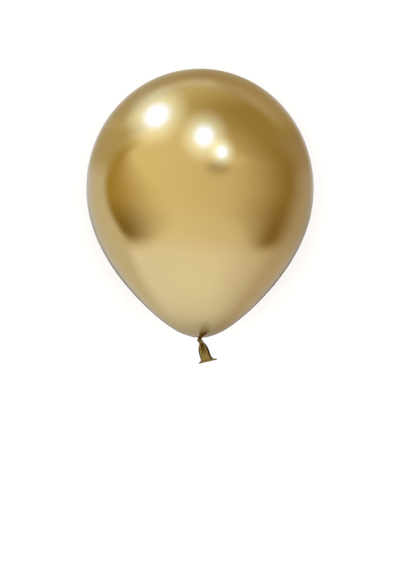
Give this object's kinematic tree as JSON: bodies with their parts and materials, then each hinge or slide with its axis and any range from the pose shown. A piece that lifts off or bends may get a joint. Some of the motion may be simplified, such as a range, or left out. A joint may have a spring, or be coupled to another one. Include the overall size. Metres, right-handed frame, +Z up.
{
  "type": "chrome latex balloon",
  "caption": "Gold chrome latex balloon, blown up to a pear-shaped bulb, knotted, with a flat rolled-lip tail, lying on its side.",
  "frame": {"origin": "on the floor, in the middle of the small flat that the balloon rests on, below its widest circle", "axes": "+Z up, +Y along the balloon's long axis towards its crown, the knot and tail at -Y, and the tail leans to +X"},
  "size_m": [0.3, 0.3894, 0.298],
  "materials": {
    "latex": "mirror-like chrome gold, duller at the knot and tail"
  },
  "bodies": {
    "root": {"balloon": "latex"}
  },
  "joints": []
}
